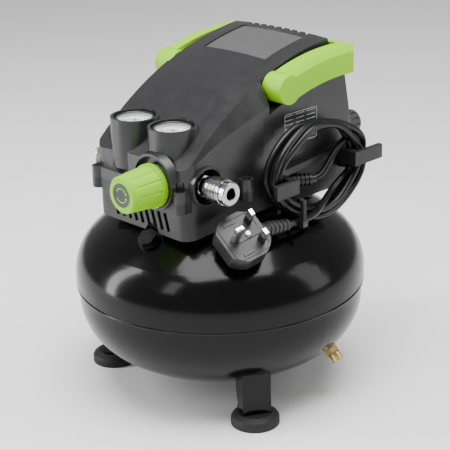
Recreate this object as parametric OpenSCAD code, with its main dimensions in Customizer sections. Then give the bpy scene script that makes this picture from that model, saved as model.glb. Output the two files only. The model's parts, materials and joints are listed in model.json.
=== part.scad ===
// Small oil-free air compressor on a dished round tank, with a folding carry handle,
// a front regulator, two gauges, a quick coupler and a mains lead wound on side hooks.
// Millimetres. Origin on the floor under the tank's axis, +Z up, -Y is the front,
// +X is the side with the coupler and the lead.

/* [Tank] */
// Outside radius of the upper tank shell
tank_r = 145; // [144.5:0.1:146]
// Sheet thickness of both tank shells
tank_wall = 2.5; // [2:0.1:3]
// Height of the seam where the upper shell's skirt ends
seam_z = 110; // [108:0.5:112]

/* [Feet] */
// Radius of the circle through the three foot centres
foot_pcd_r = 118; // [116:0.5:120]
// Radius of a rubber foot's flange
foot_r = 23.5; // [22:0.1:24]

/* [Casing] */
// Height of the split between lower housing and top cover
split_z = 225; // [224.5:0.1:225.5]
// Wall thickness of the plastic casing
case_wall = 3; // [2.8:0.1:3.2]
// Half width of the casing at the back
case_half_w = 75; // [74.5:0.1:75]

/* [Controls] */
// Outside radius of a gauge sleeve on the cover
sleeve_r = 23.3; // [23:0.1:24]
// Distance of each gauge from the middle plane
gauge_x = 26.6; // [26:0.1:27]
// Radius of the hole that takes an air-line plug
outlet_bore_r = 5.5; // [5:0.1:6]

/* [Handle] */
// Half width of the carry handle over its arms
handle_half_w = 86.6; // [86:0.1:88]

/* [Mains lead] */
// Diameter of the mains lead
cord_d = 6.8; // [6:0.1:7.5]

/* [Hidden] */

// Colours
steel = [0.62, 0.63, 0.65];
zinc = [0.78, 0.79, 0.80];
brass = [0.80, 0.68, 0.35];
copper = [0.72, 0.45, 0.30];
gloss_black = [0.05, 0.05, 0.055];
matte_black = [0.15, 0.15, 0.16];
cover_grey = [0.22, 0.22, 0.23];
panel_grey = [0.34, 0.34, 0.35];
rubber_black = [0.07, 0.07, 0.07];
lime = [0.62, 0.88, 0.12];
lead_black = [0.03, 0.03, 0.03];
white = [0.93, 0.93, 0.92];
red = [0.75, 0.08, 0.08];
lens_tint = [0.85, 0.92, 0.95, 0.35];

// Tank heads: knuckle radius, crown radius and the height where each head starts
upper_knuckle = 54;
upper_crown = 186.7;
upper_head_z = 118.9;
lower_r = tank_r - tank_wall;
lower_knuckle = 58.5;
lower_crown = 211;
lower_head_z = 94.8;
lap = 8;

// Feet
foot_angles = [-29, 91, 211];
foot_h = 11.5;
foot_boss_r = 17;
foot_bracket_w = 28;
foot_bracket_face = 126;
foot_bolt_r = 3;

// Drain valve: direction round the tank and below the horizontal
drain_turn = 15.1;
drain_dip = 47.6;
drain_base_r = lower_r - lower_knuckle;
// Spare port: direction round the tank and lean from the vertical
port_turn = -82;
port_lean = 34;

// Casing: arcs of its plan on the right side [x, y, radius, first angle, last angle]
plan_arcs = [[52, -86, 14, -90, -7], [case_half_w - 6, -10, 6, -7, 0], [case_half_w - 10, 109, 10, 0, 90]];
// Lower edge of the housing: height at the front, height and place where it levels out
housing_front_z = 184.5;
housing_back_z = 194.6;
housing_level_y = -35;
// Crown of the cover: a surface turned about an axis along X through [crown_y, crown_z]
crown_y = 120;
crown_z = 30;
crown_r = 316;
shoulder_r = 313;
shoulder_x = 64;
wall_top_r = 294;
back_lean = atan(21 / 113);
// Back edge of the crown: radius about the handle's pivot and height where it starts
back_edge_r = 84;
back_edge_z = 306;
channel_x = 62.5;
channel_r = 221.5;
badge_depth = 2.2;
channel_y = -2;
slot_count = 8;
lug_r = 6.5;
lug_screw_r = 2;
// Screw lugs round the split [x, y, direction of the web to the wall]
lugs = [[58, -101.5, 90], [78, -36.5, 180], [78, 100, 180]];

// Axes of the controls
port_y = -76.5;
port_z = 236;
knob_z = port_z;
port_opening_r = 16.75;
gauge_y = -79.5;
gauge_rim_z = 286.7;
gauge_case_r = 19;
gauge_base_z = 259;
dial_r = 16.8;
knob_front = -144.3;
knob_back = -106.4;
hood_front = -107.4;
hood_z = 239;
hood_r = 24.5;

// Handle
pivot_y = 14.8;
pivot_z = 311;
pivot_r = 14;
// The handle is turned about an axis along X through [arc_y, arc_z]
arc_y = 88.9;
arc_z = 86.4;
handle_in_r = 224.3;
handle_out_r = 251;
handle_arm_w = 19;
handle_back_y = 108.5;
handle_bevel = 6.5;
pin_r = 4;

// Motor and pump: the shaft runs along X at [shaft_y, shaft_z]
shaft_y = 22;
shaft_z = 258;
shaft_r = 5;
throw = 4.5;
crank_x = 42;
piston_r = 19.6;
bore_r = 20;

// Mains lead and plug
coil_x = 85;
coil_w = 17.5;
// Round the wound loop: centre y, centre z and radius of its outside and of its opening
coil_outside = [[5, 232, 43.5], [46, 236, 40], [86, 228, 31]];
coil_opening = [[8, 232, 22], [84, 229, 14]];
plug_at = [106, -68.5, 196];
plug_turn = [-16, -39, 180];
gland_at = [case_half_w, 20, 217.5];
gland_turn = 60;
cord_tail_points = [[87, 40.8, 217.5], [89.4, 45, 217.9], [91.1, 49.6, 219.6], [91.8, 54.1, 222.8],
                    [91.8, 58.4, 226.9], [91.8, 62.6, 231.2], [91.8, 66.8, 235.5], [91.8, 71, 239.8],
                    [91.8, 75.2, 243.8], [91.8, 79.6, 247.2]];
cord_lead_points = [[107.7, -18.1, 192], [108.3, -13.2, 191.7], [109, -7, 191.3], [109.3, 0, 191],
                    [109, 8, 190.5], [108, 17, 190.3], [106, 26, 190.5], [103, 35, 191.5],
                    [99.5, 44, 193.5], [96, 52, 196], [93, 60, 199]];

// ---------- helpers ----------

// Half section of a tank head: straight wall, knuckle and crown, solid down to z_low
module dish_2d(r, knuckle, crown, z_head, z_low) {
    rise = sqrt(pow(crown - knuckle, 2) - pow(r - knuckle, 2));
    far = 2 * crown / (crown - knuckle);
    translate([0, z_low]) square([r, z_head - z_low]);
    intersection() {
        translate([r - knuckle, z_head]) circle(knuckle, $fn = 96);
        translate([0, z_head]) square([2 * r, r]);
    }
    intersection() {
        translate([0, z_head - rise]) circle(crown, $fn = 180);
        polygon([[0, z_head], [r - knuckle, z_head], [(r - knuckle) * far, z_head - rise + rise * far],
                 [0, z_head - rise + rise * far]]);
    }
}

module upper_dish(grow, z_low) {
    rotate_extrude($fn = 180)
        dish_2d(tank_r + grow, upper_knuckle + grow, upper_crown + grow, upper_head_z, z_low);
}

module lower_dish(grow, z_top) {
    mirror([0, 0, 1])
        rotate_extrude($fn = 180)
            dish_2d(lower_r + grow, lower_knuckle + grow, lower_crown + grow, -lower_head_z, -z_top);
}

module along_x(x) { translate([x, 0, 0]) rotate([0, 90, 0]) children(); }
module along_y(y) { translate([0, y, 0]) rotate([-90, 0, 0]) children(); }
module rod_x(r, x0, x1) { along_x(x0) cylinder(r = r, h = x1 - x0, $fn = 64); }
module rod_y(r, y0, y1) { along_y(y0) cylinder(r = r, h = y1 - y0, $fn = 64); }
module tube_x(r_in, r_out, x0, x1) {
    difference() {
        rod_x(r_out, x0, x1);
        rod_x(r_in, x0 - 1, x1 + 1);
    }
}
module hex_x(flats, x0, x1) { along_x(x0) cylinder(r = flats / sqrt(3), h = x1 - x0, $fn = 6); }
module at_shaft() { translate([0, shaft_y, shaft_z]) children(); }
module at_port() { translate([0, port_y, port_z]) children(); }
module at_knob() { translate([gauge_x, 0, knob_z]) children(); }
module at_hood() { translate([gauge_x, 0, hood_z]) children(); }
module at_cylinder() { translate([crank_x, 0, shaft_z]) children(); }
module both_sides() {
    children();
    mirror([1, 0, 0]) children();
}
module at_foot(i) { rotate([0, 0, foot_angles[i]]) children(); }
module at_gauge(side) { translate([side * gauge_x, gauge_y, 0]) children(); }
module at_drain() {
    rotate([0, 0, drain_turn])
        translate([drain_base_r, 0, lower_head_z])
            rotate([0, 90 + drain_dip, 0])
                translate([0, 0, lower_knuckle]) children();
}
module at_handle_pivot() { translate([0, pivot_y, pivot_z]) children(); }

// A tube swept along points: rings turned to the path, joined into one closed skin
function unit(v) = v / norm(v);
function path_dir(p, i) = unit(p[min(i + 1, len(p) - 1)] - p[max(i - 1, 0)]);
function ring(p, i, r, n) =
    let (t = path_dir(p, i), u = unit(cross(t, [0, 0, 1])), v = cross(t, u))
    [for (k = [0 : n - 1]) p[i] + r * (cos(360 * k / n) * u + sin(360 * k / n) * v)];
module swept_tube(p, d, n = 10) {
    last = (len(p) - 1) * n;
    points = [for (i = [0 : len(p) - 1]) each ring(p, i, d / 2, n)];
    start_cap = [for (k = [0 : n - 1]) k];
    end_cap = [for (k = [0 : n - 1]) last + n - 1 - k];
    sides = [for (i = [0 : len(p) - 2], k = [0 : n - 1])
        let (a = i * n + k, b = i * n + (k + 1) % n) each [[a, b + n, b], [a, a + n, b + n]]];
    polyhedron(points, concat([start_cap, end_cap], sides));
}

// ---------- tank ----------

module tank_upper_shell() {
    color(gloss_black) difference() {
        upper_dish(0, seam_z);
        upper_dish(-tank_wall, seam_z - 1);
    }
}

module tank_lower_shell() {
    color(gloss_black) difference() {
        lower_dish(0, seam_z + lap);
        lower_dish(-tank_wall, seam_z + lap + 1);
    }
}

// Bent channel: a face plate, two side flanges cut to a taper and a bottom plate
module foot_bracket_blank() {
    t = tank_wall;
    half = foot_bracket_w / 2;
    flange = [[foot_bracket_face, foot_h], [foot_bracket_face - 16, foot_h],
              [foot_bracket_face - 22, foot_h + 10], [foot_bracket_face - 30, foot_h + 50],
              [foot_bracket_face, foot_h + 50]];
    translate([foot_bracket_face - t, -half, foot_h]) cube([t, foot_bracket_w, 50]);
    translate([foot_bracket_face - 22, -half, foot_h]) cube([22, foot_bracket_w, t]);
    for (y = [-half, half - t])
        translate([0, y + t, 0]) rotate([90, 0, 0]) linear_extrude(t) polygon(flange);
}

module foot_brackets() {
    color(gloss_black) for (i = [0 : 2]) at_foot(i) difference() {
        foot_bracket_blank();
        lower_dish(0, seam_z);
        translate([foot_pcd_r, 0, 0]) cylinder(r = foot_bolt_r, h = 40, $fn = 32);
    }
}

module rubber_foot(i) {
    color(rubber_black) at_foot(i) translate([foot_pcd_r, 0, 0]) difference() {
        rotate_extrude($fn = 96) union() {
            square([foot_r, 6]);
            polygon([[0, 6], [foot_r, 6], [foot_r - 1.5, 8.5], [foot_boss_r, foot_h], [0, foot_h]]);
        }
        translate([0, 0, 3]) cylinder(r = foot_bolt_r, h = foot_h, $fn = 32);
    }
}
module rubber_foot_1() { rubber_foot(0); }
module rubber_foot_2() { rubber_foot(1); }
module rubber_foot_3() { rubber_foot(2); }

module foot_bolts() {
    color(zinc) for (i = [0 : 2]) at_foot(i) translate([foot_pcd_r, 0, 0]) {
        translate([0, 0, 3]) cylinder(r = foot_bolt_r, h = foot_h + tank_wall - 3, $fn = 32);
        translate([0, 0, foot_h + tank_wall]) cylinder(r = 10 / sqrt(3), h = 4, $fn = 6);
    }
}

module drain_valve_body() {
    color(brass) at_drain() difference() {
        union() {
            translate([0, 0, 0.6]) cylinder(r = 14 / sqrt(3), h = 5.4, $fn = 6);
            translate([0, 0, 6]) cylinder(r = 5.2, h = 1, $fn = 48);
            translate([0, 0, 7]) cylinder(r = 5.9, h = 1.6, $fn = 48);
        }
        translate([0, 0, 2]) cylinder(r = 2.05, h = 10, $fn = 32);
    }
}

module drain_valve_seal() {
    color(rubber_black) at_drain() difference() {
        translate([0, 0, 6]) cylinder(r = 6.1, h = 1, $fn = 48);
        translate([0, 0, 5]) cylinder(r = 5.2, h = 3, $fn = 48);
    }
}

module drain_knob() {
    color(brass) at_drain() difference() {
        union() {
            translate([0, 0, 3]) cylinder(r = 2, h = 7, $fn = 32);
            translate([0, 0, 9]) cylinder(r = 6.2, h = 5.6, $fn = 48);
        }
        for (k = [0 : 19])
            rotate([0, 0, 18 * k]) translate([6.5, 0, 10.5]) cylinder(r = 0.55, h = 5, $fn = 16);
    }
}

// Centre height of the sphere that forms the upper crown
function upper_centre() =
    upper_head_z - sqrt(pow(upper_crown - upper_knuckle, 2) - pow(tank_r - upper_knuckle, 2));

// Plugged spare port on the front shoulder of the tank
module at_tank_port() {
    translate([0, 0, upper_centre()])
        rotate([0, port_lean, port_turn])
            translate([0, 0, upper_crown]) children();
}
module tank_port_plug() {
    color(zinc) difference() {
        at_tank_port() {
            translate([0, 0, -3]) cylinder(r = 11, h = 6, $fn = 64);
            translate([0, 0, 3]) cylinder(r = 17 / sqrt(3), h = 4, $fn = 6);
        }
        upper_dish(0, seam_z);
    }
}

// ---------- pump ----------

// Half width of the saddle under the pump
saddle_x = 60;
// Rubber mounts under the pump [x, y]
mount_points = [[-50, 0], [-50, 44], [22, 0], [22, 44]];

module pump_saddle() {
    color(gloss_black) difference() {
        union() {
            translate([-saddle_x, -23, 211]) cube([2 * saddle_x, 96, 3]);
            both_sides() translate([saddle_x - 3, -23, 178]) cube([3, 96, 33]);
        }
        upper_dish(0, seam_z);
        for (p = mount_points)
            translate([p[0], p[1], 200]) cylinder(r = 2.5, h = 20, $fn = 24);
    }
}

module rubber_mounts() {
    color(rubber_black) for (p = mount_points) translate([p[0], p[1], 0]) {
        translate([0, 0, 214]) cylinder(r = 8, h = 8, $fn = 48);
        translate([0, 0, 208]) cylinder(r = 2.5, h = 6, $fn = 24);
    }
}

module at_check_valve() { translate([-12, 88, 0]) children(); }
module check_valve() {
    color(brass) difference() {
        at_check_valve() {
            translate([0, 0, 182]) cylinder(r = 7, h = 24, $fn = 48);
            translate([0, 0, 192]) cylinder(r = 17 / sqrt(3), h = 9, $fn = 6);
        }
        upper_dish(0, seam_z);
        at_check_valve() translate([0, 0, 202]) cylinder(r = 4, h = 10, $fn = 32);
    }
}

module motor_stator() {
    color(steel) at_shaft() difference() {
        translate([-34, -33, -33]) cube([40, 66, 66]);
        rod_x(20, -40, 10);
        for (a = [0 : 90 : 270])
            rotate([a, 0, 0]) translate([-40, 33, 33]) rotate([45, 0, 0]) translate([0, -6, -6])
                cube([60, 12, 12]);
    }
}

module motor_windings() {
    color(copper) at_shaft() {
        tube_x(21.5, 29, -44, -34);
        tube_x(21.5, 29, 6, 16);
    }
}

module motor_end_bracket(x) {
    difference() {
        union() {
            translate([x, -33, -33]) cube([4, 55, 66]);
            translate([x - 6, -33, -36]) cube([16, 66, 3]);
        }
        rod_x(11, x - 10, x + 10);
        for (p = mount_points)
            translate([p[0], p[1] - shaft_y, -40]) cylinder(r = 2.5, h = 8, $fn = 24);
    }
}
module motor_end_brackets() {
    color(steel) at_shaft() {
        motor_end_bracket(-52);
        motor_end_bracket(20);
    }
}

module motor_bearings() {
    color(zinc) at_shaft() for (x = [-52, 17]) tube_x(shaft_r + 0.05, 11, x, x + 7);
}

module motor_rotor() {
    color(steel) at_shaft() tube_x(shaft_r, 19.6, -34, 6);
}

module motor_shaft() {
    color(zinc) at_shaft() rod_x(shaft_r, -69, 50);
}

module cooling_fan() {
    color(matte_black) at_shaft() {
        tube_x(shaft_r, 9, -67, -57);
        for (k = [0 : 6]) rotate([360 / 7 * k, 0, 0]) difference() {
            translate([-66.5, -1, 8.5]) cube([9, 2, 19.5]);
            rod_x(8.9, -70, -50);
        }
        tube_x(27.5, 29, -66, -58);
    }
}

module crankcase() {
    color(steel) difference() {
        union() {
            at_shaft() rod_x(31.5, 28, 58);
            at_cylinder() rod_y(25, 45, 54);
        }
        at_shaft() rod_x(28.5, 31, 55);
        at_shaft() rod_x(7, 20, 40);
        at_cylinder() rod_y(22, 40, 60);
    }
}

module eccentric_crank() {
    color(zinc) at_shaft() difference() {
        translate([0, 0, -throw]) rod_x(11, crank_x - 4, crank_x + 4);
        rod_x(shaft_r, 20, 60);
    }
}

module piston_rod() {
    color(zinc) {
        at_shaft() tube_x(20.5, 23.5, crank_x - 4, crank_x + 4);
        translate([crank_x - 3.5, shaft_y + 23, shaft_z - 5]) cube([7, 20, 10]);
        at_cylinder() rod_y(piston_r, 64, 71);
    }
}

module cylinder_barrel() {
    color(steel) at_cylinder() difference() {
        union() {
            rod_y(22.5, 54, 82);
            for (y = [56 : 5 : 76]) rod_y(27, y, y + 2);
        }
        rod_y(bore_r, 50, 90);
    }
}

module head_plate(y0, y1) {
    difference() {
        translate([-27, y0, -27]) cube([54, y1 - y0, 54]);
        for (x = [-21.5, 21.5], z = [-21.5, 21.5]) translate([x, 0, z]) rod_y(2.5, y0 - 1, y1 + 1);
    }
}
module valve_plate() {
    color(zinc) at_cylinder() head_plate(82, 85);
}
module cylinder_head() {
    color(steel) at_cylinder() difference() {
        head_plate(85, 99);
        for (x = [-15 : 7.5 : 15]) translate([x - 1.5, 92, -30]) cube([3, 10, 50]);
    }
}
module head_bolts() {
    color(zinc) at_cylinder() for (x = [-21.5, 21.5], z = [-21.5, 21.5]) translate([x, 0, z]) {
        rod_y(2.5, 80, 99);
        rod_y(4.5, 99, 103);
    }
}

module at_intake() { translate([52, 0, 246]) children(); }
module intake_filter() {
    color(matte_black) at_intake() difference() {
        union() {
            rod_y(6, 99, 112);
            rod_y(12, 112, 142);
        }
        for (k = [0 : 11]) rotate([0, 30 * k, 0]) translate([11, 130, -1]) cube([4, 9, 2]);
    }
}

discharge_path = [[15, 92, 262], [-12, 92, 262], [-12, 88, 250], [-12, 88, 204]];
module discharge_tube() {
    color(copper) {
        for (i = [0 : 2]) pipe(discharge_path[i], discharge_path[i + 1], 4);
        for (i = [1, 2]) translate(discharge_path[i]) sphere(5, $fn = 32);
    }
}
module pipe(a, b, r) {
    v = b - a;
    translate(a)
        rotate([0, acos(v[2] / norm(v)), atan2(v[1], v[0])])
            cylinder(r = r, h = norm(v), $fn = 32);
}

// ---------- air controls ----------

module manifold() {
    color(zinc) difference() {
        union() {
            translate([-48, -81, 224]) cube([96, 19, 22]);
            both_sides() translate([36, -87, 226]) cube([12, 20, 20]);
            translate([-gauge_x, -76, 240]) cylinder(r = 6, h = 16, $fn = 48);
            translate([34, -71, 186]) cylinder(r = 6, h = 40, $fn = 48);
        }
        at_knob() rod_y(18, -90, -58);
        upper_dish(0, seam_z);
    }
}

module pressure_switch() {
    color(matte_black) difference() {
        translate([-62, 60, 236]) cube([34, 38, 34]);
        translate([-46, 0, 252]) rod_y(3.05, 80, 120);
    }
}

module switch_knob() {
    color(red) translate([-46, 0, 252]) {
        rod_y(3, 84, 100);
        rod_y(9, 100, 124);
    }
}

module regulator_body() {
    color(zinc) {
        at_knob() {
            rod_y(18, -100, -62);
            rod_y(13, -131, -100);
            rod_y(4, -137.5, -131);
        }
        translate([gauge_x, -76, 250]) cylinder(r = 6, h = 6, $fn = 48);
    }
}

module regulator_knob() {
    color(lime) at_knob() difference() {
        union() {
            along_y(knob_front) cylinder(r1 = 16, r2 = 17.6, h = 1.6, $fn = 96);
            along_y(knob_front + 1.6) cylinder(r1 = 17.6, r2 = 20, h = 31.4, $fn = 96);
            rod_y(21.1, knob_back - 5, knob_back);
        }
        along_y(-134.4) cylinder(r = 13.4, h = 40, $fn = 64);
        along_y(-138.5) cylinder(r = 4.05, h = 40, $fn = 48);
        along_y(knob_front - 1) cylinder(r = 11.4, h = 1.6, $fn = 64);
        for (k = [0 : 11]) rotate([0, 30 * k, 0])
            translate([18.9, knob_front + 6, 0]) rotate([0, 0, -4.4]) rod_y(1.6, 0, 26.5);
    }
}

module knob_disc() {
    color(matte_black) at_knob() rod_y(11.4, knob_front, knob_front + 0.6);
}

module coupler_body() {
    color(zinc) at_port() difference() {
        union() {
            rod_x(7, 48, 58);
            hex_x(19, 58, 65);
            rod_x(9.4, 65, 70);
            rod_x(8, 69, 94);
            rod_x(11, 93, 98);
        }
        rod_x(outlet_bore_r, 77, 106);
        rod_x(3, 62, 78);
    }
}

module coupler_sleeve() {
    color(zinc) at_port() difference() {
        rod_x(12, 74.5, 91);
        rod_x(8.05, 70, 96);
        for (x = [78.5, 82.5, 86.5]) tube_x(11.3, 13, x, x + 1.2);
    }
}

module safety_valve_body() {
    color(brass) at_port() difference() {
        union() {
            rod_x(7, -50, -48);
            hex_x(14, -58, -50);
            rod_x(6.5, -78, -58);
        }
        rod_x(2.55, -84, -58);
    }
}

module safety_valve_pull() {
    color(brass) at_port() difference() {
        union() {
            rod_x(2.5, -81, -62);
            rod_x(6, -88, -81);
        }
        for (k = [0 : 17]) rotate([20 * k, 0, 0]) translate([0, 0, 6.3]) rod_x(0.6, -89, -82);
    }
}

module gauge_case(side) {
    color(matte_black) at_gauge(side) difference() {
        union() {
            translate([0, 0, gauge_base_z]) cylinder(r = gauge_case_r, h = 25.5, $fn = 96);
            translate([0, 0, 256]) cylinder(r = 5, h = 3, $fn = 32);
        }
        translate([0, 0, 262]) cylinder(r = 15.5, h = 40, $fn = 96);
        translate([0, 0, 280.5]) cylinder(r = dial_r, h = 10, $fn = 96);
    }
}
module tank_gauge_case() { gauge_case(-1); }
module outlet_gauge_case() { gauge_case(1); }

module gauge_dials() {
    color(white) for (s = [-1, 1]) at_gauge(s) difference() {
        translate([0, 0, 280.5]) cylinder(r = dial_r, h = 0.8, $fn = 96);
        translate([0, 0, 280]) cylinder(r = 0.65, h = 3, $fn = 24);
    }
}

// Pointer standing at zero, low on the left of its dial
module gauge_needle(side) {
    color(matte_black) at_gauge(side) rotate([0, 0, 225]) {
        translate([0, 0, 280.6]) cylinder(r = 0.6, h = 1.6, $fn = 24);
        translate([0, 0, 282]) cylinder(r = 1.8, h = 0.8, $fn = 32);
        translate([-5, -0.4, 282]) cube([17, 0.8, 0.5]);
    }
}
module tank_gauge_needle() { gauge_needle(-1); }
module outlet_gauge_needle() { gauge_needle(1); }

module gauge_lenses() {
    color(lens_tint) for (s = [-1, 1]) at_gauge(s)
        translate([0, 0, 283.3]) cylinder(r = dial_r, h = 1, $fn = 96);
}

// ---------- casing ----------

function plan_side(inset) = [
    for (c = plan_arcs, k = [0 : 8])
        let (a = c[3] + (c[4] - c[3]) * k / 8)
            [c[0] + (c[2] - inset) * cos(a), c[1] + (c[2] - inset) * sin(a)]
];
module plan_2d(inset) {
    right = plan_side(inset);
    left = [for (k = [len(right) - 1 : -1 : 0]) [-right[k][0], right[k][1]]];
    polygon(concat(right, left));
}

// Crown turned about its axis: a flat arch between two shoulders, then a steep bevel
module crown(inset) {
    bevel = (shoulder_r - wall_top_r) / (case_half_w - shoulder_x);
    s = shoulder_x;
    arch = [for (k = [-4 : 4]) [crown_r - inset - (crown_r - shoulder_r) * pow(k / 4, 2), s * k / 4]];
    foot = shoulder_r - inset - 16 * bevel;
    translate([0, crown_y, crown_z]) rotate([0, 90, 0]) rotate_extrude($fn = 180)
        polygon(concat([[10, -s - 16], [foot, -s - 16]], arch, [[foot, s + 16], [10, s + 16]]));
}

module handle_channels(inset) {
    both_sides() difference() {
        translate([channel_x - inset, channel_y - inset, 240]) cube([40, 130, 120]);
        translate([0, arc_y, arc_z]) rod_x(channel_r - inset, 0, 120);
    }
}

// Everything inside the cover's outer skin, shrunk by inset
module cover_solid(inset) {
    difference() {
        intersection() {
            translate([0, 0, split_z - inset]) linear_extrude(140) plan_2d(inset);
            crown(inset);
        }
        handle_channels(inset);
        translate([0, 119 - inset, split_z]) rotate([back_lean, 0, 0])
            translate([-100, 0, -20]) cube([200, 60, 180]);
        difference() {
            translate([-100, pivot_y, back_edge_z - inset]) cube([200, 150, 60]);
            at_handle_pivot() rod_x(back_edge_r - inset, -110, 110);
        }
    }
}

module lug_blocks(z0, z1) {
    both_sides() for (p = lugs) translate([p[0], p[1], z0]) {
        cylinder(r = lug_r, h = z1 - z0, $fn = 32);
        rotate([0, 0, p[2]]) translate([0, -6, 0]) cube([8.5, 12, z1 - z0]);
    }
}

module top_cover() {
    color(cover_grey) difference() {
        union() {
            difference() {
                cover_solid(0);
                cover_solid(case_wall);
            }
            difference() {
                union() {
                    lug_blocks(split_z, split_z + 11);
                    translate([-52, -104.5, split_z]) cube([104, 8, 11]);
                }
                translate([0, 0, split_z - 1]) linear_extrude(20) plan_2d(case_wall);
            }
            gauge_sleeves();
            at_hood() along_y(hood_front) cylinder(r1 = hood_r + 2.5, r2 = hood_r + 4.5, h = 8, $fn = 96);
            both_sides() at_port() tube_x(port_opening_r, port_opening_r + 2.5, 60, 69);
        }
        gauge_wells();
        at_hood() rod_y(hood_r, -120, -100.3);
        at_knob() rod_y(19, -101, -58);
        manifold_space();
        both_sides() at_port() rod_x(port_opening_r, 50, 90);
        back_openings();
        cooling_slots();
        difference() {
            badge_zone(0);
            crown(badge_depth);
        }
        both_sides() at_handle_pivot() rod_x(pin_r, 50, 70);
        lug_holes();
        translate([-120, -150, split_z - 60]) cube([240, 300, 60]);
    }
}

module lug_holes() {
    both_sides() for (p = lugs) translate([p[0], p[1], 0]) {
        translate([0, 0, split_z - 20]) cylinder(r = lug_screw_r, h = 40, $fn = 24);
        translate([0, 0, split_z + 8.5]) cylinder(r = 4, h = 10, $fn = 32);
    }
}

module gauge_sleeves() {
    for (s = [-1, 1]) at_gauge(s) {
        translate([0, 0, 240]) cylinder(r = sleeve_r, h = gauge_rim_z - 240, $fn = 96);
        translate([0, 0, 226]) cylinder(r1 = 14, r2 = sleeve_r, h = 14, $fn = 96);
    }
}
module gauge_wells() {
    for (s = [-1, 1]) {
        at_gauge(s) translate([0, 0, 257.5]) cylinder(r = sleeve_r - 3, h = 60, $fn = 96);
        translate([s * gauge_x, -76, 220]) cylinder(r = 8.5, h = 40, $fn = 48);
    }
}

// Room for the manifold behind the knob's cup
module manifold_space() {
    translate([-50, -81.5, 215]) cube([100, 40, 33]);
    both_sides() translate([35, -88, 215]) cube([15, 30, 33]);
}

module back_openings() {
    at_intake() rod_y(14, 100, 130);
    translate([-46, 0, 252]) rod_y(10.5, 100, 130);
}
module cooling_slots() {
    for (k = [0 : slot_count - 1])
        translate([(k - (slot_count - 1) / 2) * 10.5 - 2.5, 88, 331]) cube([5, 30, 40]);
}

// Place of the badge plate in a shallow recess on the crown
module badge_zone(gap) {
    translate([-42 + gap, 27 + gap, 300]) cube([84 - 2 * gap, 56 - 2 * gap, 60]);
}

module badge_panel() {
    color(panel_grey) difference() {
        intersection() {
            badge_zone(0.4);
            crown(badge_depth - 1.2);
        }
        crown(badge_depth);
    }
}

// Inside of the lower housing up to the split, shrunk by inset and with its floor lifted
module tray_solid(inset, lift) {
    intersection() {
        translate([0, 0, housing_front_z - 5]) linear_extrude(60) plan_2d(inset);
        rotate([90, 0, 90]) translate([0, 0, -100]) linear_extrude(200)
            polygon([[-110, housing_front_z + lift], [housing_level_y, housing_back_z + lift],
                     [130, housing_back_z + lift], [130, split_z + lift], [-110, split_z + lift]]);
    }
}

module lower_housing() {
    color(matte_black) difference() {
        union() {
            difference() {
                tray_solid(0, 0);
                tray_solid(case_wall, case_wall);
            }
            difference() {
                union() {
                    lug_blocks(split_z - 10, split_z);
                    translate([-52, -104.5, split_z - 10]) cube([104, 8, 10]);
                }
                translate([0, 0, split_z - 15]) linear_extrude(20) plan_2d(case_wall);
            }
            at_hood() rod_y(hood_r + 2.5, hood_front, -99);
            both_sides() at_port() tube_x(port_opening_r, port_opening_r + 2.5, 60, 69);
        }
        upper_dish(4, seam_z);
        at_tank_port() cylinder(r = 12.5, h = 14, $fn = 48);
        at_check_valve() translate([0, 0, 180]) cylinder(r = 10.4, h = 30, $fn = 48);
        both_sides() translate([saddle_x - 3.4, -23.4, 170]) cube([3.8, 96.8, 42]);
        at_hood() rod_y(hood_r, -120, -100.3);
        at_knob() rod_y(19, -101, -58);
        manifold_space();
        both_sides() at_port() rod_x(port_opening_r, 50, 90);
        lug_holes();
        front_vents();
        at_gland() translate([0, 0, -20]) cylinder(r = 5.5, h = 40, $fn = 32);
        translate([-120, -150, split_z]) cube([240, 300, 50]);
    }
}

// Slanting slots across the front
module front_vents() {
    for (x = [-36 : 9 : 36])
        translate([x, -105, 200]) rotate([0, -16, 0]) translate([-2.1, 0, -9]) cube([4.2, 20, 18]);
}

module cover_screws() {
    color(zinc) both_sides() for (p = lugs) translate([p[0], p[1], 0]) {
        translate([0, 0, split_z - 9]) cylinder(r = lug_screw_r, h = 17.5, $fn = 24);
        translate([0, 0, split_z + 8.5]) cylinder(r = 3.6, h = 2, $fn = 32);
    }
}

// ---------- handle ----------

// Looking down: two arms and the grip across the back, its outer corners cut off
module handle_plan() {
    w = handle_half_w;
    i = w - handle_arm_w;
    y = handle_back_y;
    polygon([[w, pivot_y], [w, y - 5], [w - 5, y], [5 - w, y], [-w, y - 5], [-w, pivot_y],
             [-i, pivot_y], [-i, y - 9], [i, y - 9], [i, pivot_y]]);
}

module carry_handle() {
    w = handle_half_w;
    r = handle_out_r;
    color(lime) difference() {
        union() {
            intersection() {
                translate([0, arc_y, arc_z]) rotate([0, 90, 0]) rotate_extrude($fn = 180)
                    polygon([[handle_in_r, -w], [r - handle_bevel, -w], [r, handle_bevel - w],
                             [r, w - handle_bevel], [r - handle_bevel, w], [handle_in_r, w]]);
                translate([0, 0, 260]) linear_extrude(100) handle_plan();
            }
            both_sides() at_handle_pivot() rod_x(pivot_r, channel_x + 0.5, handle_half_w);
        }
        both_sides() at_handle_pivot() rod_x(pin_r + 0.05, 60, 80);
    }
}

module handle_pivot_pins() {
    color(zinc) both_sides() at_handle_pivot() {
        rod_x(pin_r, 57, 79.5);
        rod_x(8, 56.3, 59.3);
    }
}

// ---------- mains lead ----------

// Hooks for the lead [y, z, thickness of the arm, reach of the tip forward and backward]
hooks = [[-8, 219, 8, 22, 8], [79, 225.5, 9, 0, 40]];
// Rail that joins the hooks along the wall [y, z]
rail = [[-8, 226], [-8, 233], [88, 239.5], [88, 231.5]];
module cord_hooks() {
    color(matte_black) union() {
        for (h = hooks) translate([case_half_w, h[0], h[1]]) {
            cube([35, h[2], 14]);
            translate([31, -h[3], 0]) cube([5, h[3] + h[4], 14]);
            translate([0, -4, 0]) cube([3, 17, 14]);
        }
        translate([case_half_w, 0, 0]) rotate([90, 0, 90]) linear_extrude(9) polygon(rail);
    }
}

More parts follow.
